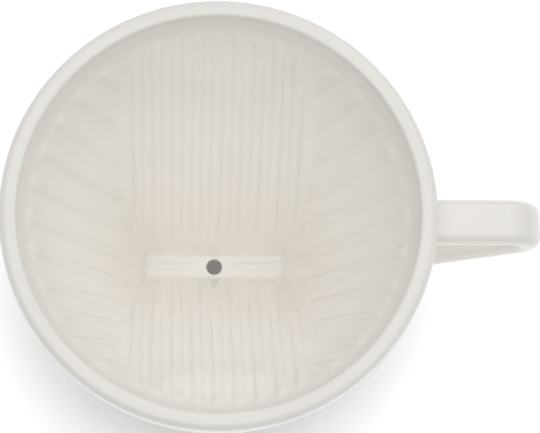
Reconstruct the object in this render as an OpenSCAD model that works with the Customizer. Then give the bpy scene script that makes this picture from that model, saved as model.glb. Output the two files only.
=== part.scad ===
// Pour over dripper in glazed porcelain: a ribbed cone that narrows to a slot with one drip hole,
// on a round base plate with a centring ring, with a strap handle luted to one side.
// Millimetres, +Z up, origin on the drip hole's axis at the underside of the centring ring,
// +X towards the handle. The two flat walls of the cone face +Y and -Y.

/* [Overall] */
// Outer diameter of the rim
rim_d = 114; // [92:1:138]
// Height from the underside of the centring ring to the top of the rim
total_h = 96; // [78:1:116]
// Wall thickness of the cone, square to the wall
wall_t = 4.5; // [3.5:0.1:5.5]

/* [Brewing hollow] */
// Length of the slot that the hollow narrows to
slot_l = 39.5; // [32:0.5:48]
// Width of that slot
slot_w = 6.6; // [5.5:0.1:8]
// Thickness of the floor of the slot
floor_t = 4; // [3:0.1:5]
// Diameter of the drip hole
hole_d = 4.5; // [3:0.1:5.4]
// Depth of the round collar below the rim
collar_h = 7; // [5:0.5:10]
// Height of the sloped shoulder from the flat walls out to the collar
shoulder_h = 10; // [7:0.5:14]

/* [Rim] */
// Width of the rounded lip, seen from above
lip_w = 5.2; // [4.2:0.1:6.4]
// Height of the rolled band under the lip
lip_h = 8; // [6:0.5:9]
// Height over which the flat walls flare out to the band
lip_flare_h = 5; // [4:0.5:7]

/* [Ribs] */
// Height of the ribs above the wall
rib_h = 1.1; // [0.6:0.1:1.6]
// Width of a rib
rib_w = 3; // [2:0.1:3.6]
// Ribs on each flat wall
flat_rib_n = 9; // [7:2:11]
// Spacing of the ribs on the flat walls
flat_rib_pitch = 5.45; // [4.6:0.05:6]
// Ribs on each round side
side_rib_n = 11; // [7:2:11]
// Spacing of the side ribs around the rim, in degrees
side_rib_step = 10.2; // [8.5:0.1:11]
// Turn of the outermost side rib away from the X axis, in degrees
side_rib_fan = 23; // [15:1:30]
// Gap between the rib tops and the collar, measured down the shoulder
rib_top_gap = 2; // [1:0.1:3]
// Radius of the ridges along the slot floor
floor_ridge_r = 1.6; // [1:0.1:1.6]
// Height of those ridges
floor_ridge_h = 0.6; // [0.4:0.1:0.8]
// Clear half length round the drip hole, between the two ridges
floor_ridge_gap = 6; // [4:0.5:8]

/* [Base] */
// Diameter of the base plate
plate_d = 92; // [80:1:104]
// Thickness of the base plate
plate_t = 5; // [4:0.1:6.5]
// Rounding of the base plate's edge
plate_round = 1.8; // [1:0.1:1.9]
// Diameter of the opening under the drip hole
plate_opening_d = 14; // [10:0.5:15]
// Outer diameter of the centring ring
ring_d = 62; // [52:1:76]
// Height of the centring ring below the base plate
ring_h = 7; // [5:0.5:9]
// Wall of the centring ring
ring_t = 5; // [4:0.1:6]
// Depth of the seat for the centring ring in the base plate
ring_seat = 1; // [0.5:0.1:1.5]

/* [Handle] */
// Reach of the handle beyond the rim
handle_reach = 29.3; // [24:0.1:36]
// Width of the strap
strap_w = 12; // [9:0.5:14]
// Thickness of the strap
strap_t = 6.5; // [5:0.1:8]
// Drop from the top of the rim to the top of the strap
strap_drop = 11; // [10.5:0.1:16]
// Radius of the outer bend, on the middle of the strap
bend_r = 6.6; // [5:0.1:9]
// Height above the base plate at which the lower leg meets the cone
leg_foot_h = 17; // [12:0.5:24]
// Radius of the strap's outer corners, seen from above
strap_corner_r = 2.5; // [1:0.1:4]

/* [Slip joints] */
// Width of the slip that shows round each handle root
slip_w = 1.8; // [1:0.1:2.4]
// Thickness of the slip on the cone's wall
slip_t = 2; // [1:0.1:2.6]
// Height of the slip round the foot of the cone
foot_slip_h = 2.6; // [1.5:0.1:4]

/* [Hidden] */

$fn = 96;
glaze = "#ebe6dc";
biscuit = "#efebe3";
slip = "#e6e0d4";
past = 1;        // how far a cutter runs past the face that it cuts
bite = 0.4;      // how far a root runs into the wall that it grows from
very_wide = 400; // wider than any piece

rim_r = rim_d / 2;
collar_r = rim_r - lip_w;
body_z = ring_h + plate_t;             // underside of the cone's foot
floor_z = body_z + floor_t;            // floor of the slot
collar_z = total_h - collar_h;         // bottom of the round collar
shoulder_z = collar_z - shoulder_h;    // bottom of the sloped shoulder

// The hollow: a circular cone and two flat walls, both running from the slot to the collar
cone_foot_r = slot_l / 2;
cone_slope = (collar_r - 0.7 - cone_foot_r) / (collar_z - floor_z);
flat_foot_y = slot_w / 2;
flat_slope = (collar_r - 4.8 - flat_foot_y) / (collar_z - floor_z);
shoulder_foot_y = flat_foot_y + flat_slope * (shoulder_z - floor_z);
shoulder_slope = (collar_r - shoulder_foot_y) / shoulder_h;

// A distance square to a sloping wall, measured along the horizontal
function across(t, slope) = t * sqrt(1 + slope * slope);
function cone_r(z, t = 0) = cone_foot_r + cone_slope * (z - floor_z) + across(t, cone_slope);
function flat_y(z, t = 0) = flat_foot_y + flat_slope * (z - floor_z) + across(t, flat_slope);
function shoulder_r(z, t = 0) = shoulder_foot_y + shoulder_slope * (z - shoulder_z) + across(t, shoulder_slope);

// Height on the shoulder at which the ribs stop
rib_top_z = collar_z - rib_top_gap;
rib_top_r = shoulder_r(rib_top_z);

// The handle's strap runs level to the bend, and its leg turns back down to the cone
strap_z = total_h - strap_drop - strap_t / 2;
bend_x = rim_r + handle_reach - strap_t / 2 - bend_r;
bend_z = strap_z - bend_r;
foot_z = body_z + leg_foot_h;
foot_x = cone_r(foot_z, wall_t);
foot_far = norm([bend_x - foot_x, bend_z - foot_z]);
// The leg's middle line touches the bend's circle and passes through its foot on the wall
leg_turn = atan2(bend_z - foot_z, bend_x - foot_x) - asin(bend_r / foot_far);
leg_l = sqrt(foot_far * foot_far - bend_r * bend_r);
leg_over = wall_t;                     // how far the leg is drawn into the wall before it is trimmed
plan_clear = 0.4;                      // how far the handle's plan ends beyond its bend
bend_steps = 28;                       // straight steps round the bend

// A cone between two heights, t outside the hollow's own surface
module round_cone(z0, z1, t) {
    translate([0, 0, z0])
        cylinder(h = z1 - z0, r1 = cone_r(z0, t), r2 = cone_r(z1, t));
}

// The space between the two flat walls, t outside the hollow's own surface
module between_flats(z0, z1, t) {
    rotate([90, 0, 90])
        linear_extrude(height = very_wide, center = true)
            polygon([[-flat_y(z0, t), z0], [flat_y(z0, t), z0], [flat_y(z1, t), z1], [-flat_y(z1, t), z1]]);
}

module wedge(z0, z1, t) {
    intersection() {
        round_cone(z0, z1, t);
        between_flats(z0, z1, t);
    }
}

// The whole hollow, t outside its own surface, with its mouth open
module hollow(t) {
    wedge(floor_z - t, collar_z, t);
    translate([0, 0, shoulder_z])
        cylinder(h = shoulder_h, r1 = shoulder_r(shoulder_z, t), r2 = shoulder_r(collar_z, t));
    translate([0, 0, collar_z - 0.01])
        cylinder(h = collar_h + past, r = collar_r + t);
}

// The rounded lip, the band below it and the flare out to the band
module lip() {
    round_r = lip_w / 2;
    flare_z = total_h - lip_h - lip_flare_h;
    flare_foot_r = flat_y(flare_z, wall_t) - bite;
    rotate_extrude() {
        translate([rim_r - round_r, total_h - round_r]) circle(r = round_r);
        polygon([
            [flare_foot_r, flare_z], [rim_r, total_h - lip_h],
            [rim_r, total_h - round_r], [flare_foot_r, total_h - round_r]
        ]);
    }
}

// The outside of the cone, filled in
module outside() {
    wedge(body_z, collar_z, wall_t);
    lip();
}

// Upright slabs where the ribs of the flat walls stand
module flat_rib_slabs() {
    for (i = [0 : flat_rib_n - 1])
        translate([(i - (flat_rib_n - 1) / 2) * flat_rib_pitch - rib_w / 2, -very_wide / 2, floor_z + past])
            cube([rib_w, very_wide, rib_top_z - floor_z - past]);
}

// Upright slabs where the ribs of one round side stand, each from the rim inwards
module side_rib_slabs() {
    half = (side_rib_n - 1) / 2;
    inner_x = flat_rib_pitch * (flat_rib_n - 1) / 2 + rib_w;
    difference() {
        for (k = [-half : half]) {
            place = k * side_rib_step;
            turn = -sign(k) * side_rib_fan * pow(abs(k) / half, 1.5);
            translate([rib_top_r * cos(place), rib_top_r * sin(place), floor_z])
                rotate([0, 0, 180 - turn])
                    translate([-past, -rib_w / 2, 0])
                        cube([rib_top_r, rib_w, rib_top_z - floor_z]);
        }
        translate([-very_wide + inner_x, -very_wide / 2, floor_z + slot_w])
            cube([very_wide, very_wide, total_h]);
        translate([-very_wide + cone_foot_r - rib_h, -very_wide / 2, 0])
            cube([very_wide, very_wide, total_h]);
    }
}

module ribs() {
    intersection() {
        difference() {
            hollow(bite);
            hollow(-rib_h);
        }
        union() {
            flat_rib_slabs();
            side_rib_slabs();
            mirror([1, 0, 0]) side_rib_slabs();
        }
    }
}

// Low rounded ridges along the slot floor, one each side of the drip hole
module floor_ridges() {
    ridge_l = cone_foot_r - floor_ridge_gap - floor_ridge_r;
    for (side = [-1, 1])
        translate([side * (floor_ridge_gap + ridge_l / 2), 0, floor_z + floor_ridge_h - floor_ridge_r])
            rotate([0, 90, 0])
                cylinder(h = ridge_l, r = floor_ridge_r, center = true);
}

module cone_body() {
    color(glaze) {
        difference() {
            outside();
            hollow(0);
            translate([0, 0, body_z - past]) cylinder(h = floor_t + 2 * past, d = hole_d);
        }
        ribs();
        floor_ridges();
    }
}

module base_plate() {
    plate_r = plate_d / 2;
    color(glaze)
        rotate_extrude()
            difference() {
                union() {
                    translate([0, ring_h]) square([plate_r - plate_round, plate_t]);
                    translate([0, ring_h + plate_round]) square([plate_r, plate_t - 2 * plate_round]);
                    for (z = [ring_h + plate_round, body_z - plate_round])
                        translate([plate_r - plate_round, z]) circle(r = plate_round);
                }
                translate([-past, ring_h - past]) square([plate_opening_d / 2 + past, plate_t + 2 * past]);
                translate([-past, ring_h - past]) square([ring_d / 2 + past, ring_seat + past]);
            }
}

module centring_ring() {
    foot_round = 1.2;
    ring_r = ring_d / 2;
    color(biscuit)
        rotate_extrude() {
            translate([ring_r - ring_t, foot_round]) square([ring_t, ring_h + ring_seat - foot_round]);
            translate([ring_r - ring_t + foot_round, 0]) square([ring_t - 2 * foot_round, foot_round + past]);
            for (r = [ring_r - ring_t + foot_round, ring_r - foot_round])
                translate([r, foot_round]) circle(r = foot_round);
        }
}

// Points along an arc about the bend's centre
function bend_arc(r, from, to) =
    [for (i = [0 : bend_steps]) let (a = from + (to - from) * i / bend_steps)
        [bend_x + r * cos(a), bend_z + r * sin(a)]];

// The far end of the leg, r from the bend's centre square to the leg
function leg_end(r) = [
    bend_x - (leg_l + leg_over) * cos(leg_turn) + r * sin(leg_turn),
    bend_z - (leg_l + leg_over) * sin(leg_turn) - r * cos(leg_turn)
];

// Side outline of the strap, bend and leg, made thicker by grow
module handle_outline(grow = 0) {
    half_t = strap_t / 2 + grow;
    outer = bend_r + half_t;
    inner = max(bend_r - half_t, 0.1);
    polygon(concat(
        [[0, bend_z + outer]], bend_arc(outer, 90, leg_turn - 90), [leg_end(outer)],
        [leg_end(inner)], bend_arc(inner, leg_turn - 90, 90), [[0, bend_z + inner]]
    ));
}

// Plan of the handle: a strap with rounded outer corners, ending just clear of the bend
module handle_plan(grow = 0) {
    w = strap_w + 2 * grow;
    end_x = rim_r + handle_reach + grow + plan_clear;
    translate([0, -w / 2]) square([end_x - strap_corner_r, w]);
    translate([end_x - strap_corner_r - past, -w / 2 + strap_corner_r])
        square([strap_corner_r + past, w - 2 * strap_corner_r]);
    for (side = [-1, 1])
        translate([end_x - strap_corner_r, side * (w / 2 - strap_corner_r)]) circle(r = strap_corner_r);
}

module handle_solid(grow = 0) {
    intersection() {
        rotate([90, 0, 0])
            linear_extrude(height = very_wide, center = true) handle_outline(grow);
        linear_extrude(height = total_h) handle_plan(grow);
    }
}

module handle() {
    color(glaze)
        difference() {
            handle_solid();
            outside();
        }
}

// Slip on the cone's wall round a handle root, between two heights
module handle_joint(z0, z1) {
    color(slip)
        difference() {
            intersection() {
                handle_solid(slip_w);
                wedge(z0, z1, wall_t + slip_t);
                translate([0, -very_wide / 2, z0]) cube([very_wide, very_wide, z1 - z0]);
            }
            handle_solid();
            outside();
        }
}

module handle_top_joint() {
    handle_joint(strap_z - strap_t, total_h - strap_drop + slip_w + past);
}

module handle_lower_joint() {
    handle_joint(body_z + foot_slip_h, strap_z - strap_t);
}

// Slip round the foot of the cone, on the base plate
module base_joint() {
    color(slip)
        difference() {
            wedge(body_z, body_z + foot_slip_h, wall_t + slip_t);
            outside();
        }
}

cone_body();
base_plate();
centring_ring();
handle();
handle_top_joint();
handle_lower_joint();
base_joint();
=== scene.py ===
# %% [markdown]
# # A porcelain pour over dripper
#
# A dripper is a cone of glazed porcelain that holds a folded filter paper over a cup. This lesson builds
# its looks round a CAD model that already fixes every size: the cone with its ribs, the round plate that
# sits on the cup, the ring that centres it, the strap handle, and the slip that joins them.
#
# The CAD model is loaded first, and its parts' boxes are read for the sizes. Nothing made here may grow
# past it.

# %% Load the frame
import bpy
import math
import numpy as np
from mathutils import Matrix, Vector


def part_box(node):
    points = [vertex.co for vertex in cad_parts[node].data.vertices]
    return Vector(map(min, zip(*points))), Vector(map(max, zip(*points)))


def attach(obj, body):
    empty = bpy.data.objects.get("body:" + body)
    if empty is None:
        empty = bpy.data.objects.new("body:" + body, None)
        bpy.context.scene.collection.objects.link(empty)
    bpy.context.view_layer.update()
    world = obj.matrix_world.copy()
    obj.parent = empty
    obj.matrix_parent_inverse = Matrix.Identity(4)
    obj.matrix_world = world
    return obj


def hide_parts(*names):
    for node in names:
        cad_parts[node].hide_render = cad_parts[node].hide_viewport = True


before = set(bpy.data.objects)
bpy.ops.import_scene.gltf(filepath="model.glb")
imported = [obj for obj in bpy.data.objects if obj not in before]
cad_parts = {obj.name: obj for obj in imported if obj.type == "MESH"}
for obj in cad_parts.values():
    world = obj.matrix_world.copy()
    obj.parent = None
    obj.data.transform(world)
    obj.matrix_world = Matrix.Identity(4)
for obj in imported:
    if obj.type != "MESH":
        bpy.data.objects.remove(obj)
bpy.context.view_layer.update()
print("CAD nodes:", sorted(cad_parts))

# %% [markdown]
# ## Sizes
#
# The outer sizes are read from the CAD nodes' own boxes. The few that a box can't give, such as the slot
# and the wall, are written here once, in metres, with the same values as the design. Everything else,
# such as the slopes of the walls, is worked out from them.

# %% Sizes of the cone
MM = 0.001
cone_low, cone_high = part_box("cone_body")
plate_low, plate_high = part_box("base_plate")
ring_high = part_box("centring_ring")[1]
handle_low, handle_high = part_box("handle")

RIM_R = cone_high.y
TOP_Z = cone_high.z
FOOT_Z = cone_low.z
WALL = 4.5 * MM
SLOT_L = 39.5 * MM
SLOT_W = 6.6 * MM
FLOOR_Z = FOOT_Z + 4 * MM
HOLE_R = 2.25 * MM
LIP_W = 5.2 * MM
COLLAR_R = RIM_R - LIP_W
COLLAR_Z = TOP_Z - 7 * MM
SHOULDER_Z = COLLAR_Z - 10 * MM
BAND_Z = TOP_Z - 8 * MM
FLARE_Z = BAND_Z - 5 * MM

CONE_SLOPE = (COLLAR_R - 0.7 * MM - SLOT_L / 2) / (COLLAR_Z - FLOOR_Z)
FLAT_SLOPE = (COLLAR_R - 4.8 * MM - SLOT_W / 2) / (COLLAR_Z - FLOOR_Z)
print(f"rim {2000 * RIM_R:.1f} mm across, {1000 * TOP_Z:.1f} mm high, walls lean "
      f"{math.degrees(math.atan(CONE_SLOPE)):.1f} and {math.degrees(math.atan(FLAT_SLOPE)):.1f} degrees")

# %% [markdown]
# ## The section of the cone
#
# Cut level at any height, the hollow is a circle with its front and back sliced flat. Low down the flats
# are all there is, a slot; near the rim they have run out and only the circle is left. Glaze and casting
# leave no sharp corner where flat meets round, so the two are blended with a soft minimum, which is the
# smaller of two values with the corner between them rounded off.

# %% Soft corners and the walls' radius at a height
def soft_min(a, b, width):
    """The smaller of a and b, rounded off where they are within width of each other."""
    share = np.clip(0.5 + 0.5 * (b - a) / width, 0, 1)
    return b + (a - b) * share - width * share * (1 - share)


def soft_max(a, b, width):
    return -soft_min(-a, -b, width)


def smooth_step(low, high, x):
    t = np.clip((x - low) / (high - low), 0, 1)
    return t * t * (3 - 2 * t)


def across(wall, slope):
    """A thickness square to a leaning wall, as it measures along the level."""
    return wall * math.sqrt(1 + slope * slope)


def cone_r(z, out=0.0):
    return SLOT_L / 2 + CONE_SLOPE * (z - FLOOR_Z) + across(out, CONE_SLOPE)


def flat_y(z, out=0.0):
    return SLOT_W / 2 + FLAT_SLOPE * (z - FLOOR_Z) + across(out, FLAT_SLOPE)


COLLAR_LEAN = 0.32
COLLAR_OPEN = 0.7 * MM
shoulder_foot = flat_y(SHOULDER_Z)
flare_foot = flat_y(FLARE_Z, WALL)


def shoulder_r(z):
    return shoulder_foot + (COLLAR_R - shoulder_foot) * (z - SHOULDER_Z) / (COLLAR_Z - SHOULDER_Z)


def collar_r(z):
    """The collar below the lip leans in a little on its way down."""
    return COLLAR_R + COLLAR_OPEN - COLLAR_LEAN * (TOP_Z - z)


def flare_r(z):
    return flare_foot + (RIM_R - flare_foot) * (z - FLARE_Z) / (BAND_Z - FLARE_Z)


print(f"slot {2000 * cone_r(FLOOR_Z):.1f} x {2000 * flat_y(FLOOR_Z):.1f} mm")

# %% [markdown]
# ## Where the mesh lines run
#
# The mesh has columns that run from rim to floor and rings that run round. The columns keep to their own
# wall: each flat has its own share of them, level with X, and each round side has the rest. So the ribs of
# the flat walls lie along the columns and stay crisp with few faces.

# %% Columns round the cone
FLAT_COLUMNS = 108
SIDE_COLUMNS = 212
COLUMNS = 2 * (FLAT_COLUMNS + SIDE_COLUMNS)


def bearings(r, y):
    """The direction of each column, for a round wall of radius r and flat walls y from the axis."""
    corner = math.asin(min(1.0, y / r))
    flat_x = r * math.cos(corner) * (1 - 2 * np.arange(FLAT_COLUMNS) / FLAT_COLUMNS)
    side = np.arange(SIDE_COLUMNS) / SIDE_COLUMNS * 2 * corner
    half = SIDE_COLUMNS // 2
    back = np.arctan2(y, flat_x)
    return np.concatenate([side[:half], back, math.pi - corner + side, math.pi + back,
                           side[half:] - 2 * corner])


def ring(phi, rho, z):
    """One ring of points from bearings, radii and a height."""
    return np.stack([rho * np.cos(phi), rho * np.sin(phi), np.broadcast_to(z, phi.shape)], axis=1)


INNER_CORNER = 3.5 * MM
OUTER_CORNER = 7 * MM


def inner_ring(z, inset=0.0):
    """The hollow's wall at height z, or inset from it."""
    r, y = cone_r(z, -inset), flat_y(z, -inset)
    phi = bearings(r, y)
    rho = soft_min(r, y / np.maximum(abs(np.sin(phi)), 1e-6), min(INNER_CORNER, 2 * y))
    rho = soft_max(rho, shoulder_r(z), 2.4 * MM)
    return ring(phi, soft_min(rho, collar_r(z), 3 * MM), z)


def outer_ring(z, grow=0.0):
    """The outside of the wall at height z, or grown out from it."""
    r, y = cone_r(z, WALL + grow), flat_y(z, WALL + grow)
    phi = bearings(r, y)
    rho = soft_min(r, y / np.maximum(abs(np.sin(phi)), 1e-6), OUTER_CORNER)
    rho = soft_max(rho, flare_r(z), 3 * MM)
    return ring(phi, soft_min(rho, RIM_R, 1.5 * MM), z)


print(f"{COLUMNS} columns, {2000 * COLLAR_R * math.pi / COLUMNS:.2f} mm apart at the rim")

# %% [markdown]
# ## The cone's shell
#
# With its one drip hole the shell is, to a mesh, a ring doughnut: a sheet rolled into a tube, whose ends
# are then joined. So it starts as a grid with one row of points for each level, and each row is put in its
# place: up the outside, over the lip, down the inside, across the floor, through the hole and back under.
# The sheet's edges then lie on each other, and merging them closes it.

# %% Levels of the shell
def arc(centre_r, centre_z, radius, start, end, steps):
    """Radius and height of points along an arc of the wall's section, angles in degrees."""
    turns = np.radians(np.linspace(start, end, steps))
    return [(centre_r + radius * math.cos(a), centre_z + radius * math.sin(a)) for a in turns]


LIP_OUTER = 2.2 * MM
LIP_INNER = 1 * MM
lip_end = math.pi - math.atan(COLLAR_LEAN)
lip_end_z = TOP_Z - LIP_INNER * (1 - math.sin(lip_end))
lip_centre = collar_r(lip_end_z) - LIP_INNER * math.cos(lip_end)
lip = (arc(RIM_R - LIP_OUTER, TOP_Z - LIP_OUTER, LIP_OUTER, 0, 90, 11)
       + [(r, TOP_Z) for r in np.linspace(RIM_R - LIP_OUTER, lip_centre, 5)[1:-1]]
       + arc(lip_centre, TOP_Z - LIP_INNER, LIP_INNER, 90, math.degrees(lip_end), 9))
lip_phi = bearings(cone_r(COLLAR_Z), flat_y(COLLAR_Z))

FLOOR_FILLET = 0.6 * MM
HOLE_EDGE = 0.35 * MM
hole_phi = bearings(1.0, math.sin(math.radians(45)))


def between(a, b, shares):
    """Rings part of the way from ring a to ring b."""
    return [a + (b - a) * s for s in shares]


rings = [outer_ring(z) for z in np.linspace(FOOT_Z, FLARE_Z - 3 * MM, 8)]
rings += [outer_ring(z) for z in np.linspace(FLARE_Z - 2 * MM, TOP_Z - LIP_OUTER - 0.8 * MM, 9)]
rings += [ring(lip_phi, r, z) for r, z in lip]
rings += [inner_ring(z) for z in np.linspace(TOP_Z - 1.4 * MM, COLLAR_Z + 0.9 * MM, 7)]
rings += [inner_ring(z) for z in np.linspace(COLLAR_Z, SHOULDER_Z - 2 * MM, 17)]
rings += [inner_ring(z) for z in np.linspace(SHOULDER_Z - 2.8 * MM, FLOOR_Z + 2 * FLOOR_FILLET, 56)]
for turn in np.radians(np.linspace(0, 90, 6)):
    above_floor = FLOOR_FILLET * (1 - math.sin(turn))
    rings.append(inner_ring(FLOOR_Z + above_floor, FLOOR_FILLET * (1 - math.cos(turn))))
wide_hole = ring(hole_phi, HOLE_R + HOLE_EDGE, FLOOR_Z)
rings += between(rings[-1], wide_hole, np.linspace(0, 1, 14)[1:-1])
hole_side = arc(HOLE_R + HOLE_EDGE, FLOOR_Z - HOLE_EDGE, HOLE_EDGE, 90, 180, 6)
hole_side += [(HOLE_R, FLOOR_Z - 1.8 * MM), (HOLE_R, FOOT_Z + 0.8 * MM)]
hole_side += [(HOLE_R + 0.1 * MM, FOOT_Z + 0.2 * MM), (HOLE_R + 0.5 * MM, FOOT_Z)]
rings += [ring(hole_phi, r, z) for r, z in hole_side]
rings += between(rings[-1], rings[0], (0.4, 0.8))
print(len(rings), "rings,", 2 * len(rings) * COLUMNS, "triangles")

# %% Grid into shell
def deselect_all():
    if bpy.context.mode != "OBJECT":
        bpy.ops.object.mode_set(mode="OBJECT")
    bpy.ops.object.select_all(action="DESELECT")


def finished(name):
    """Names the active piece and its mesh, and puts its place into its mesh."""
    piece = bpy.context.active_object
    bpy.ops.object.transform_apply(location=True, rotation=True, scale=True)
    piece.name = name
    piece.data.name = name
    bpy.ops.object.shade_smooth()
    return piece


def from_grid(name, rows):
    """A grid laid out so that each row of points is one ring, with both pairs of edges merged."""
    deselect_all()
    bpy.ops.mesh.primitive_grid_add(x_subdivisions=len(rows[0]), y_subdivisions=len(rows), size=1)
    piece = finished(name)
    rolled = [np.concatenate([row, row[:1]]) for row in rows + rows[:1]]
    piece.data.vertices.foreach_set("co", np.concatenate(rolled).astype(np.float32).ravel())
    piece.data.update()
    bpy.ops.object.mode_set(mode="EDIT")
    bpy.ops.mesh.select_all(action="SELECT")
    bpy.ops.mesh.remove_doubles(threshold=0.004 * MM)
    bpy.ops.mesh.normals_make_consistent(inside=False)
    bpy.ops.object.mode_set(mode="OBJECT")
    return piece


cone = from_grid("filter_cone", rings)
print(cone.name, len(cone.data.polygons), "faces")

# %% [markdown]
# ## Ribs
#
# The ribs hold the wet paper off the wall so that air can leave. On the flat walls they run straight down.
# On the round sides they stand in upright planes that fan out a little, and are lower and softer. Each is
# a low rounded ridge with a round end, like half a buried rod, and all sink into the wall on their way
# down. They could be rods joined on with a boolean, but that leaves a hard line where each meets the wall.
# So a vertex group says how much of a ridge's height each point has, and a Displace modifier lifts the
# points off the wall by that share, square to the wall.

# %% How much rib each point has
RIB_H = 1.1 * MM
RIB_HALF = 2 * MM
RIB_CROWN = 0.7 * MM
FLAT_PITCH = 5.45 * MM
FLAT_RIBS = 9
SIDE_RIBS = 11
SIDE_STEP = math.radians(10.2)
SIDE_FAN = math.radians(23)
SIDE_RIB_HALF = 2.4 * MM
SIDE_RIB_CROWN = 0.3 * MM
SIDE_RIB_SHARE = 0.62
RIB_TOP_Z = COLLAR_Z - 0.4 * MM
RIB_TOP_R = shoulder_r(RIB_TOP_Z)
RIB_FOOT_Z = FLOOR_Z + 1.5 * MM
TIP_ON_SLOPE = 1.3
FADE_TO = 0.3
FADE_OVER = 26 * MM

points = np.zeros(len(cone.data.vertices) * 3, np.float32)
cone.data.vertices.foreach_get("co", points)
x, y, z = points.reshape(-1, 3).astype(float).T
radius = np.hypot(x, y)
on_wall = (radius < COLLAR_R + 0.05 * MM) & (z > FLOOR_Z + 0.1 * MM) & (z < COLLAR_Z)
on_wall &= (radius < cone_r(z) + 1.5 * MM) & (abs(y) < np.maximum(flat_y(z), shoulder_r(z)) + 1.5 * MM)


def ridge(beside, beyond, half, crown):
    """Height share of a ridge with soft flanks, for points beside its line and beyond its end."""
    return smooth_step(half, crown, np.hypot(beside, np.maximum(beyond, 0)))


past_top = (z - RIB_TOP_Z) * TIP_ON_SLOPE + RIB_HALF
past_foot = RIB_FOOT_Z - z
fade = FADE_TO + (1 - FADE_TO) * smooth_step(RIB_FOOT_Z, RIB_FOOT_Z + FADE_OVER, z)
fade *= smooth_step(RIB_FOOT_Z - RIB_HALF, RIB_FOOT_Z + 4 * MM, z)
on_flat = smooth_step(2.4 * MM, 0.9 * MM, flat_y(z) - abs(y))
share = np.zeros(len(x))
for i in range(FLAT_RIBS):
    line = (i - (FLAT_RIBS - 1) / 2) * FLAT_PITCH
    high = ridge(x - line, np.maximum(past_top, past_foot), RIB_HALF, RIB_CROWN)
    share = np.maximum(share, high * on_flat * fade)

# %% Ribs of the round sides
side_half = (SIDE_RIBS - 1) // 2
for side in (-1, 1):
    for k in range(-side_half, side_half + 1):
        place = k * SIDE_STEP
        lean = math.copysign(SIDE_FAN * (abs(k) / side_half) ** 1.5, k)
        along_x, along_y = -side * math.cos(lean), -math.sin(lean)
        start_x, start_y = side * RIB_TOP_R * math.cos(place), RIB_TOP_R * math.sin(place)
        beside = (x - start_x) * along_y - (y - start_y) * along_x
        high = ridge(beside, np.maximum(past_top, past_foot), SIDE_RIB_HALF, SIDE_RIB_CROWN)
        clear_of_flat = smooth_step(0.3 * MM, 6 * MM, flat_y(z) - abs(y))
        if k == 0:
            clear_of_flat = 1
        share = np.maximum(share, SIDE_RIB_SHARE * high * fade * (side * x > 0) * clear_of_flat)
share *= on_wall

# %% Ridges along the slot floor
FLOOR_RIDGE_H = 0.6 * MM
RIDGE_FROM = 7 * MM
ridge_end = np.maximum(RIDGE_FROM - abs(x), abs(x) - (SLOT_L / 2 - 1.6 * MM))
on_floor = (abs(z - FLOOR_Z) < 0.05 * MM) & (abs(y) < SLOT_W / 2) & (radius > HOLE_R + HOLE_EDGE)
floor_share = ridge(y, ridge_end, 2 * MM, 0.1 * MM) * on_floor * FLOOR_RIDGE_H / RIB_H
share = np.maximum(share, floor_share)
print(f"{int((share > 0).sum())} points stand on a rib or ridge")

# %% Lift the ribs off the wall
deselect_all()
cone.select_set(True)
bpy.context.view_layer.objects.active = cone
group = cone.vertex_groups.new(name="ribs")
for index in np.nonzero(share)[0]:
    group.add([int(index)], float(share[index]), "REPLACE")
lift = cone.modifiers.new("Ribs", "DISPLACE")
lift.direction = "NORMAL"
lift.mid_level = 0
lift.strength = RIB_H
lift.vertex_group = group.name
bpy.ops.object.modifier_apply(modifier=lift.name)

# %% [markdown]
# ## Turned pieces
#
# The base plate and the centring ring are round, as if turned on a wheel. Each starts as a circle of
# points that is laid out as the outline of the section, and the Spin operator turns it round the axis.
# The ends of a full turn meet, so they are merged, and the faces are made to point outwards.

# %% Turn an outline into a ring
def turned(name, outline, steps=192):
    """A ring from a closed outline of (radius, height) points, turned round the Z axis."""
    deselect_all()
    bpy.ops.mesh.primitive_circle_add(vertices=len(outline), radius=1, fill_type="NOTHING")
    piece = finished(name)
    for vertex, (r, height) in zip(piece.data.vertices, outline):
        vertex.co = (r, 0, height)
    bpy.ops.object.mode_set(mode="EDIT")
    bpy.ops.mesh.select_all(action="SELECT")
    bpy.ops.mesh.spin(steps=steps, angle=math.tau, center=(0, 0, 0), axis=(0, 0, 1))
    bpy.ops.mesh.select_all(action="SELECT")
    bpy.ops.mesh.remove_doubles(threshold=0.01 * MM)
    bpy.ops.mesh.normals_make_consistent(inside=False)
    bpy.ops.object.mode_set(mode="OBJECT")
    bpy.ops.object.shade_smooth()
    return piece


plate_r = plate_high.x
OPENING_R = 7 * MM
SEAT = 1 * MM
EDGE = 1.8 * MM
ring_r = ring_high.x
plate_under = plate_low.z
plate_top = plate_high.z
plate = turned("base_disc", (
    arc(plate_r - EDGE, plate_under + EDGE, EDGE, -90, 0, 8)
    + arc(plate_r - EDGE, plate_top - EDGE, EDGE, 0, 90, 8)
    + [(r, plate_top) for r in np.linspace(plate_r - 2 * EDGE, OPENING_R + 3 * EDGE, 7)]
    + arc(OPENING_R + 0.6 * MM, plate_top - 0.6 * MM, 0.6 * MM, 90, 180, 4)
    + arc(OPENING_R + 0.8 * MM, plate_under + SEAT + 0.8 * MM, 0.8 * MM, 180, 270, 5)
    + [(r, plate_under + SEAT) for r in (12 * MM, 18 * MM, 24 * MM, ring_r - 0.3 * MM, ring_r)]
    + [(r, plate_under) for r in (ring_r + 0.2 * MM, ring_r + 1 * MM, 36 * MM, 40 * MM)]
))
print(plate.name, len(plate.data.polygons), "faces")

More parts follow.
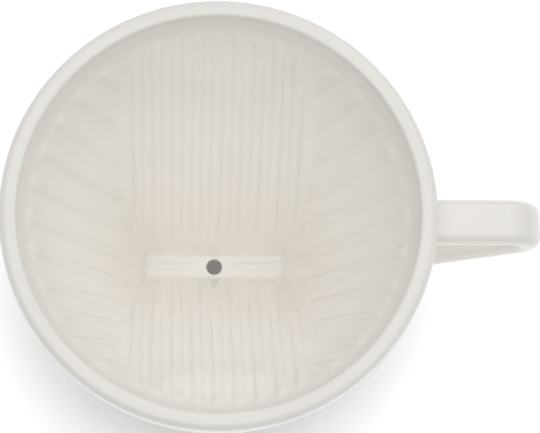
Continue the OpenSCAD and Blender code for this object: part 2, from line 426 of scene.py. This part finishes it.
# %% Turn the centring ring
RING_T = 5 * MM
FOOT_ROUND = 1.2 * MM
ring_mid = ring_r - RING_T / 2
centring = turned("cup_ring", (
    arc(ring_r - FOOT_ROUND, FOOT_ROUND, FOOT_ROUND, -90, 0, 6)
    + [(ring_r, height) for height in (2.4 * MM, 4 * MM, 5.5 * MM, ring_high.z)]
    + [(ring_mid, ring_high.z)]
    + [(ring_r - RING_T, height) for height in (ring_high.z, 5.5 * MM, 4 * MM, 2.4 * MM)]
    + arc(ring_r - RING_T + FOOT_ROUND, FOOT_ROUND, FOOT_ROUND, 180, 270, 6)
    + [(ring_mid, 0)]
))
print(centring.name, len(centring.data.polygons), "faces")

# %% [markdown]
# ## Handle
#
# A potter rolls a strap of clay, rounds its edges with a wet thumb, bends it and lutes both ends to the
# cone. The piece is made the same way: a plane as wide and thick as the strap has its corners bevelled,
# is extruded level from inside the wall, spun round the outer bend and extruded down along the lower leg
# until it meets the wall again.

# %% Handle sizes
STRAP_W = handle_high.y - handle_low.y
STRAP_T = 6.5 * MM
BEND_R = 6.6 * MM
STRAP_EDGE = 2.9 * MM
strap_z = handle_high.z - STRAP_T / 2
bend_x = handle_high.x - STRAP_T / 2 - BEND_R
bend_z = strap_z - BEND_R
leg_foot_z = FOOT_Z + 17 * MM
leg_foot_x = cone_r(leg_foot_z, WALL)
foot_far = math.hypot(bend_x - leg_foot_x, bend_z - leg_foot_z)
leg_lean = math.atan2(bend_z - leg_foot_z, bend_x - leg_foot_x) - math.asin(BEND_R / foot_far)
leg_l = math.sqrt(foot_far ** 2 - BEND_R ** 2)
strap_start = cone_r(strap_z, WALL) - 3 * MM
STRAP_FOOT = np.array([strap_start, 0, strap_z])
STRAP_WAY = np.array([1.0, 0, 0])
LEG_RUN_IN = 1 * MM
LEG_FOOT = np.array([leg_foot_x, 0, leg_foot_z])
LEG_WAY = np.array([math.cos(leg_lean), 0, math.sin(leg_lean)])
print(f"strap {1000 * STRAP_W:.1f} x {1000 * STRAP_T:.1f} mm, leg leans {math.degrees(leg_lean):.1f} degrees")

# %% Sliding points to the wall
def wall_out(z):
    """Outer radius of the cone's round side."""
    return soft_min(soft_max(cone_r(z, WALL), flare_r(z), 3 * MM), RIM_R, 1.5 * MM)


def to_wall(points, along, depth=0.0):
    """The points slid along the strap to the cone's outer wall, or to a depth inside it."""
    near, far = np.full(len(points), -60 * MM), np.full(len(points), 60 * MM)
    for _ in range(40):
        middle = (near + far) / 2
        p = points + middle[:, None] * along
        outside = np.hypot(p[:, 0], p[:, 1]) > wall_out(p[:, 2]) - depth
        near, far = np.where(outside, near, middle), np.where(outside, middle, far)
    return points + middle[:, None] * along


# %% Strap, bend and leg
def extrude_by(dx, dz, steps):
    """Extrudes what is selected in equal steps, in the XZ plane."""
    for _ in range(steps):
        bpy.ops.mesh.extrude_region_move(
            TRANSFORM_OT_translate={"value": (dx / steps, 0, dz / steps)})


deselect_all()
bpy.ops.mesh.primitive_plane_add(size=1, location=(strap_start, 0, strap_z), rotation=(0, math.pi / 2, 0))
strap = bpy.context.active_object
strap.scale = (STRAP_T, STRAP_W, 1)
strap = finished("strap_handle")
bpy.ops.object.mode_set(mode="EDIT")
bpy.ops.mesh.select_all(action="SELECT")
bpy.ops.mesh.bevel(offset=STRAP_EDGE, segments=9, affect="VERTICES")
extrude_by(bend_x - strap_start, 0, 14)
bpy.ops.mesh.spin(steps=36, angle=math.pi - leg_lean, center=(bend_x, 0, bend_z), axis=(0, -1, 0))
leg_run = leg_l + LEG_RUN_IN
extrude_by(-leg_run * math.cos(leg_lean), -leg_run * math.sin(leg_lean), 24)
bpy.ops.mesh.select_all(action="SELECT")
bpy.ops.mesh.remove_doubles(threshold=0.01 * MM)
bpy.ops.mesh.normals_make_consistent(inside=False)
bpy.ops.object.mode_set(mode="OBJECT")
foot_end = [v for v in strap.data.vertices
            if (np.array(v.co) - LEG_FOOT) @ LEG_WAY < 0.01 * MM - LEG_RUN_IN]
for vertex, place in zip(foot_end, to_wall(np.array([v.co for v in foot_end]), LEG_WAY, WALL / 2)):
    vertex.co = place
bpy.ops.object.shade_smooth()
strap_box = [Vector(c) for c in strap.bound_box]
print("handle from", tuple(round(1000 * min(c[i] for c in strap_box), 1) for i in range(3)),
      "to", tuple(round(1000 * max(c[i] for c in strap_box), 1) for i in range(3)))

# %% [markdown]
# ## Slip at the joins
#
# Clay parts are stuck together with slip, clay thinned to a cream, and a wet finger smooths it into a
# hollow round every join. Under the glaze it is part of the same skin. Each of these is a ring of its own:
# a section with one hollow side, carried round the strap, the leg or the foot of the cone. The hollow side
# is a Bezier curve that leaves one surface and arrives at the other without a corner.

# %% Section of the slip
def slip_ring(name, upper, corner, lower, hidden, steps=9):
    """A ring with a hollow side from upper to lower that bends towards corner, and returns through hidden."""
    rows = [(1 - t) ** 2 * upper + 2 * t * (1 - t) * corner + t * t * lower for t in np.linspace(0, 1, steps)]
    piece = from_grid(name, rows + list(hidden))
    bpy.ops.object.shade_smooth_by_angle(angle=math.radians(40))
    print(piece.name, len(piece.data.polygons), "faces")
    return piece


def widened(outline, by):
    """A level outline pushed outwards, square to itself."""
    run = np.roll(outline, -6, axis=0) - np.roll(outline, 6, axis=0)
    run /= np.linalg.norm(run, axis=1, keepdims=True)
    return outline + by * np.stack([run[:, 1], -run[:, 0], 0 * run[:, 0]], axis=1)


def sunk(outline, depth):
    return outline - np.array([0, 0, depth])


SLIP_RISE = 2.6 * MM
SLIP_UNDER = 0.6 * MM
foot_line = outer_ring(FOOT_Z)
foot_wide = widened(foot_line, SLIP_RISE)
foot_tight = widened(foot_line, -1 * MM)
foot_slip = slip_ring(
    "foot_slip", outer_ring(FOOT_Z + SLIP_RISE), foot_line, foot_wide,
    [sunk(foot_wide, SLIP_UNDER), sunk(foot_tight, SLIP_UNDER), sunk(foot_tight, -SLIP_RISE)])

# %% Outline of the strap
def strap_outline(centre, along, grow=0.0, steps=12):
    """Points round the strap's section at a centre, for a strap that runs along, grown on all sides."""
    corner_r = STRAP_EDGE + grow
    half_w, half_t = STRAP_W / 2 - STRAP_EDGE, STRAP_T / 2 - STRAP_EDGE
    up = np.array([-along[2], 0, along[0]])
    quarters = []
    for over, rise, start in ((1, 1, 0), (-1, 1, 90), (-1, -1, 180), (1, -1, 270)):
        turn = np.radians(np.linspace(start, start + 90, steps))[:, None]
        quarters.append(centre + (over * half_w + corner_r * np.cos(turn)) * np.array([0, 1, 0])
                        + (rise * half_t + corner_r * np.sin(turn)) * up)
    return np.concatenate(quarters)


def strap_slip(name, centre, along, width, spread):
    """A ring of slip round the strap where it meets the wall."""
    met = to_wall(strap_outline(centre, along), along)
    wide = to_wall(strap_outline(centre, along, spread), along)
    tight = to_wall(strap_outline(centre, along, -0.8 * MM), along)
    sunk_in = 0.8 * MM * along
    return slip_ring(name, to_wall(strap_outline(centre, along, 0.02 * MM), along) + width * along, met, wide,
                     [wide - sunk_in, tight - sunk_in, tight + width * along])


top_slip = strap_slip("strap_top_slip", STRAP_FOOT, STRAP_WAY, 2.2 * MM, 2.2 * MM)
leg_slip = strap_slip("strap_foot_slip", LEG_FOOT, LEG_WAY, 2.4 * MM, 1.4 * MM)

# %% [markdown]
# ## Where the glaze lies thick
# The inside is glazed by filling the cone and pouring it out again, so it takes a thick, milky coat, and it
# is
# painted whiter still: painted light that stands in for the light bounced round inside the cone. The lip,
# the outside and the handle are dipped and keep a thinner one, and the slightly greyer body shows through it.
# In the kiln the melt then pulls thin over the ribs and gathers along the slip. Low down the hollow is made
# darker towards the floor. Each point of a piece gets a number for that, from 0 for thin to 1 for thick and
# painted whitest, and the mesh keeps it as an attribute that the material reads. A noise could vary the coat
# too, but only the shape knows where the ribs are.

# %% Thickness of glaze and painted light at each point
# The inside's number is a thicker coat plus painted light for the light bounced round inside the cone.
INSIDE_COAT_AND_LIGHT = 0.9
OUTSIDE_COAT = 0.1
# This one makes the hollow darker towards the floor.
DARKER_LOW_DOWN = 0.45
OFF_RIBS = 0.2


def set_glaze_and_light(piece, depth):
    """Keeps each point's thickness of glaze, from 0 for thin to 1 for thick, with the cone's painted light
    inside, in the piece's mesh.
    """
    layer = piece.data.attributes.new("glaze_and_light", "FLOAT", "POINT")
    everywhere = np.broadcast_to(depth, len(piece.data.vertices)).astype(np.float32)
    layer.data.foreach_set("value", np.ascontiguousarray(everywhere))


low_down = smooth_step(COLLAR_Z, FLOOR_Z, z)
hollow = smooth_step(WALL * 0.6, WALL * 0.2, radius - np.minimum(cone_r(z), COLLAR_R))
hollow *= smooth_step(TOP_Z, TOP_Z - 2.5 * MM, z) * (z > FLOOR_Z - 0.1 * MM)
# In the hollow the number is raised by a thicker coat plus painted light, and lowered towards the floor and
# over the ribs.
cone_glaze_and_light = OUTSIDE_COAT + hollow * (INSIDE_COAT_AND_LIGHT - DARKER_LOW_DOWN * low_down - OFF_RIBS * share)
set_glaze_and_light(cone, np.clip(cone_glaze_and_light, 0, 1))
for piece, depth in ((plate, 0.3), (centring, 0.3), (strap, 0.2), (foot_slip, 0.5), (top_slip, 0.5),
                     (leg_slip, 0.5)):
    set_glaze_and_light(piece, depth)
print(f"glaze on the cone {cone_glaze_and_light.min():.2f} to {cone_glaze_and_light.max():.2f} of full thickness")

# %% [markdown]
# ## Materials
#
# Porcelain is a white, glassy clay body under a glaze that is melted on to it at about 1300 degrees. Glaze
# is glass, so it is smooth, with an index of about 1.5, and gives a clean highlight over a milky colour
# that comes from within. Close to, it is never quite flat: the cast wall waves a little every centimetre or
# so, and the glaze has an orange peel with bumps about 1.4 mm apart. A Principled shader with a low
# roughness gives both the milky colour and the glassy top. Its colours are given as sRGB hex values, and
# the scale of each pattern is worked out from its size on the real thing.

# %% Colours and nodes
def linear(hex_colour):
    """An sRGB hex colour as linear red, green, blue and alpha."""
    parts = [int(hex_colour[i:i + 2], 16) / 255 for i in (1, 3, 5)]
    return (*[c / 12.92 if c <= 0.04045 else ((c + 0.055) / 1.055) ** 2.4 for c in parts], 1.0)


def add_node(tree, kind, links=(), **settings):
    """Adds a node, sets its sockets and properties, and links sockets of earlier nodes to it."""
    node = tree.nodes.new(kind)
    for name, value in settings.items():
        if name in node.inputs:
            node.inputs[name].default_value = value
        else:
            setattr(node, name, value)
    for source, output, target in links:
        tree.links.new(source.outputs[output], node.inputs[target])
    return node


def spaced(size_mm):
    """The scale that gives a pattern a spacing in millimetres on Object coordinates in metres."""
    return 1000 / size_mm


MIX_A, MIX_B, MIX_RESULT = 6, 7, 2
THIN_GLAZE = "#F4F1EC"
# The thick end's milky white is also the painted light of the cone's inside.
THICK_GLAZE_AND_LIGHT = "#FFFCF7"
print("thin glaze", [round(c, 3) for c in linear(THIN_GLAZE)[:3]])

# %% [markdown]
# ## Glazed porcelain
#
# The colour runs from a pale grey ivory where the glaze is thin to a milky white where it is thick; on the
# cone's inside that milky white is also painted light, for the light bounced round inside. Clouds 20 mm
# across move it a little either way, as firing does. The roughness varies by a few hundredths over patches
# of 8 mm, and two Bump nodes in a row give the slow wave of the casting and the orange peel. Slip takes the
# same glaze on a slightly creamier clay, so its material is the same with its own two colours.

# %% Glaze
PATTERNS = (("cloud", 20, 3), ("patch", 8, 2), ("wave", 14, 1), ("peel", 1.4, 1))
CLOUD_SHARE = 0.15
WAVE_RISE = 0.12 * MM
PEEL_RISE = 0.02 * MM


def glazed(name, thin, thick_and_light):
    """A material for glazed porcelain from its colours under thin and under thick glaze; the thick colour
    also carries painted light.
    """
    material = bpy.data.materials.new(name)
    material.use_nodes = True
    tree = material.node_tree
    shader = tree.nodes["Principled BSDF"]
    shader.inputs["IOR"].default_value = 1.5
    place = add_node(tree, "ShaderNodeTexCoord")
    noises = {}
    for part, size_mm, detail in PATTERNS:
        noises[part] = add_node(tree, "ShaderNodeTexNoise", [(place, "Object", "Vector")],
                                Scale=spaced(size_mm), Detail=detail)
    depth = add_node(tree, "ShaderNodeAttribute", attribute_name="glaze_and_light")
    firing = add_node(tree, "ShaderNodeMapRange", [(noises["cloud"], "Fac", "Value")],
                      **{"From Min": 0.25, "From Max": 0.75, "To Min": -CLOUD_SHARE, "To Max": CLOUD_SHARE})
    # The coat number carries glaze thickness and the cone's painted light.
    coat_and_light = add_node(tree, "ShaderNodeMath", [(depth, "Fac", 0), (firing, "Result", 1)], use_clamp=True)
    colour = add_node(tree, "ShaderNodeMix", [(coat_and_light, 0, "Factor")], data_type="RGBA")
    colour.inputs[MIX_A].default_value = linear(thin)
    colour.inputs[MIX_B].default_value = linear(thick_and_light)
    tree.links.new(colour.outputs[MIX_RESULT], shader.inputs["Base Color"])
    gloss = add_node(tree, "ShaderNodeMapRange", [(noises["patch"], "Fac", "Value")],
                     **{"To Min": 0.08, "To Max": 0.18})
    tree.links.new(gloss.outputs["Result"], shader.inputs["Roughness"])
    cast = add_node(tree, "ShaderNodeBump", [(noises["wave"], "Fac", "Height")], Distance=WAVE_RISE)
    peel = add_node(tree, "ShaderNodeBump", [(noises["peel"], "Fac", "Height"), (cast, "Normal", "Normal")],
                    Distance=PEEL_RISE)
    tree.links.new(peel.outputs["Normal"], shader.inputs["Normal"])
    return material


glaze = glazed("fired_glaze", THIN_GLAZE, THICK_GLAZE_AND_LIGHT)
slip_glaze = glazed("fired_glaze_on_slip", "#F4F1EB", "#FEFBF5")
print(glaze.name, "has", len(glaze.node_tree.nodes), "nodes")

# %% [markdown]
# ## Bare porcelain
#
# A dripper stands on the ring under its plate in the kiln, so the foot of that ring is wiped clean of
# glaze, or it would stick to the shelf. What is left there is the bare body: matt, a little darker, and as
# fine in the grain as an eggshell. The material is the glaze again, with a change over to bare body below
# 1.6 mm, along a line that wavers as a sponge does. The grain is drawn 0.5 mm apart so that it shows.

# %% Wiped foot
WIPED_TO = 1.6 * MM
WAVER = 0.8 * MM
GRAIN_RISE = 0.04 * MM
bare = glazed("wiped_porcelain", THIN_GLAZE, THICK_GLAZE_AND_LIGHT)
tree = bare.node_tree
shader = tree.nodes["Principled BSDF"]
place = add_node(tree, "ShaderNodeTexCoord")
split = add_node(tree, "ShaderNodeSeparateXYZ", [(place, "Object", "Vector")])
sponge = add_node(tree, "ShaderNodeTexNoise", [(place, "Object", "Vector")], Scale=spaced(9), Detail=2)
level = add_node(tree, "ShaderNodeMath", [(sponge, "Fac", 0), (split, "Z", 2)], operation="MULTIPLY_ADD")
level.inputs[1].default_value = WAVER
wiped = add_node(tree, "ShaderNodeMapRange", [(level, 0, "Value")], interpolation_type="SMOOTHSTEP",
                 **{"From Min": WIPED_TO, "From Max": WIPED_TO + WAVER, "To Min": 1.0, "To Max": 0.0})

# %% Colour, gloss and grain of the wiped foot
old_colour = shader.inputs["Base Color"].links[0].from_socket
body = add_node(tree, "ShaderNodeMix", [(wiped, "Result", "Factor")], data_type="RGBA")
tree.links.new(old_colour, body.inputs[MIX_A])
body.inputs[MIX_B].default_value = linear("#EFEAE0")
tree.links.new(body.outputs[MIX_RESULT], shader.inputs["Base Color"])
old_gloss = shader.inputs["Roughness"].links[0].from_socket
matt = add_node(tree, "ShaderNodeMath", [(wiped, "Result", 0)], operation="MULTIPLY_ADD", use_clamp=True)
matt.inputs[1].default_value = 0.55
tree.links.new(old_gloss, matt.inputs[2])
tree.links.new(matt.outputs[0], shader.inputs["Roughness"])
grain = add_node(tree, "ShaderNodeTexNoise", [(place, "Object", "Vector")], Scale=spaced(0.5), Detail=3)
rough = add_node(tree, "ShaderNodeMath", [(grain, "Fac", 0), (wiped, "Result", 1)], operation="MULTIPLY")
old_normal = shader.inputs["Normal"].links[0].from_node
eggshell = add_node(tree, "ShaderNodeBump", [(rough, 0, "Height"), (old_normal, "Normal", "Normal")],
                    Distance=GRAIN_RISE)
tree.links.new(eggshell.outputs["Normal"], shader.inputs["Normal"])
print("bare body below", round(1000 * WIPED_TO, 1), "mm")

# %% [markdown]
# ## Joining the pieces to the frame
#
# A dripper is fired as one piece and nothing on it moves, so every piece rides on the root. Each one takes
# the place of the CAD node of the same part.

# %% Riding and replacing
for piece, node, material, slot in (
    (cone, "cone_body", glaze, "glazed_porcelain"), (plate, "base_plate", glaze, "glazed_porcelain"),
    (centring, "centring_ring", bare, "bare_porcelain"), (strap, "handle", glaze, "glazed_porcelain"),
    (foot_slip, "base_joint", slip_glaze, "glazed_slip"),
    (top_slip, "handle_top_joint", slip_glaze, "glazed_slip"),
    (leg_slip, "handle_lower_joint", slip_glaze, "glazed_slip"),
):
    piece.data.materials.append(material)
    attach(piece, "root")
    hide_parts(node)
    print(f"{piece.name} replaces {node}, {material.name}")

# %% [markdown]
# ## Floor
#
# The dripper stands on a sheet of white paper. A little emission makes the sheet glow pure white, and the
# glow is turned down under and close round the plate, as painted shade under the piece, which also leaves
# the drip hole dark.

# %% Sheet of paper
deselect_all()
bpy.ops.mesh.primitive_plane_add(size=4, location=(0, 0, 0))
floor = finished("floor")
paper = bpy.data.materials.new("white_paper")
paper.use_nodes = True
sheet = paper.node_tree
white = sheet.nodes["Principled BSDF"]
white.inputs["Base Color"].default_value = linear("#F4F4F4")
white.inputs["Roughness"].default_value = 0.9
spot = add_node(sheet, "ShaderNodeTexCoord")
from_axis = add_node(sheet, "ShaderNodeVectorMath", [(spot, "Object", "Vector")], operation="LENGTH")
# Less glow near the axis: painted shade under the piece.
glow_and_painted_shade = add_node(sheet, "ShaderNodeMapRange", [(from_axis, "Value", "Value")], interpolation_type="SMOOTHSTEP",
                **{"From Min": 45 * MM, "From Max": 75 * MM, "To Min": 0.09, "To Max": 0.40})
sheet.links.new(glow_and_painted_shade.outputs["Result"], white.inputs["Emission Strength"])
white.inputs["Emission Color"].default_value = (1, 1, 1, 1)
floor.data.materials.append(paper)
print("floor", tuple(round(d, 1) for d in floor.dimensions))

# %% [markdown]
# ## Light
#
# The light is a large soft ceiling. The sky of the scene is brightest overhead and falls off to the
# horizon, so upright surfaces are a little darker than level ones and the shape reads. It leans a little
# towards the window side. Two soft boxes, one overhead and a smaller one on the window side, put broad
# highlights on the glaze.

# %% Sky
TO_WINDOW = (0.45, 0.89, 0)
WINDOW_LEAN = 0.10
world = bpy.data.worlds.new("studio")
bpy.context.scene.world = world
world.use_nodes = True
sky = world.node_tree
way = add_node(sky, "ShaderNodeTexCoord")
parts = add_node(sky, "ShaderNodeSeparateXYZ", [(way, "Generated", "Vector")])
height = add_node(sky, "ShaderNodeMapRange", [(parts, "Z", "Value")], interpolation_type="SMOOTHSTEP",
                  **{"From Min": -0.2, "From Max": 1.0, "To Min": 0.045, "To Max": 0.76})
to_window = add_node(sky, "ShaderNodeVectorMath", [(way, "Generated", 0)], operation="DOT_PRODUCT")
to_window.inputs[1].default_value = TO_WINDOW
tilt = add_node(sky, "ShaderNodeMath", [(to_window, "Value", 0), (height, "Result", 2)],
                operation="MULTIPLY_ADD")
tilt.inputs[1].default_value = WINDOW_LEAN
sky.links.new(tilt.outputs[0], sky.nodes["Background"].inputs["Strength"])
sky.nodes["Background"].inputs["Color"].default_value = (1, 1, 1, 1)

# %% Soft boxes
MIDDLE = Vector((0, 0, 0.06))


def softbox(name, place, size, energy):
    """A square soft light at a place, turned to face the dripper."""
    bpy.ops.object.light_add(type="AREA", location=place)
    box = bpy.context.active_object
    box.name = name
    box.data.shape = "SQUARE"
    box.data.size = size
    box.data.energy = energy
    box.rotation_euler = (MIDDLE - box.location).to_track_quat("-Z", "Y").to_euler()


softbox("overhead_softbox", (0.0, -0.12, 1.3), 1.3, 3.7)
softbox("window_softbox", (0.45, 0.75, 0.9), 0.6, 1.1)
print("lights:", [light.name for light in bpy.data.lights])

# %% [markdown]
# ## Camera
#
# The camera looks down into the cone from just in front, through a long lens, and is rolled a little so
# that the handle lies level in the view.

# %% Camera
RISE = math.radians(78.06)
SWING = math.radians(-11.17)
ROLL = math.radians(11.11)
bpy.ops.object.camera_add(location=(-0.0115, -0.126, 0.696))
camera = bpy.context.active_object
camera.name = "camera"
back = Vector((math.sin(SWING) * math.cos(RISE), -math.cos(SWING) * math.cos(RISE), math.sin(RISE)))
up = (Vector((0, 0, 1)) - back * back.z).normalized()
right = up.cross(back)
right, up = (right * math.cos(ROLL) + up * math.sin(ROLL), up * math.cos(ROLL) - right * math.sin(ROLL))
camera.rotation_euler = Matrix((right, up, back)).transposed().to_euler()
camera.data.lens = 158.2
camera.data.sensor_width = 36
bpy.context.scene.camera = camera
bpy.context.scene.view_settings.view_transform = "Standard"
print("camera", tuple(round(c, 3) for c in camera.location), camera.data.lens, "mm")
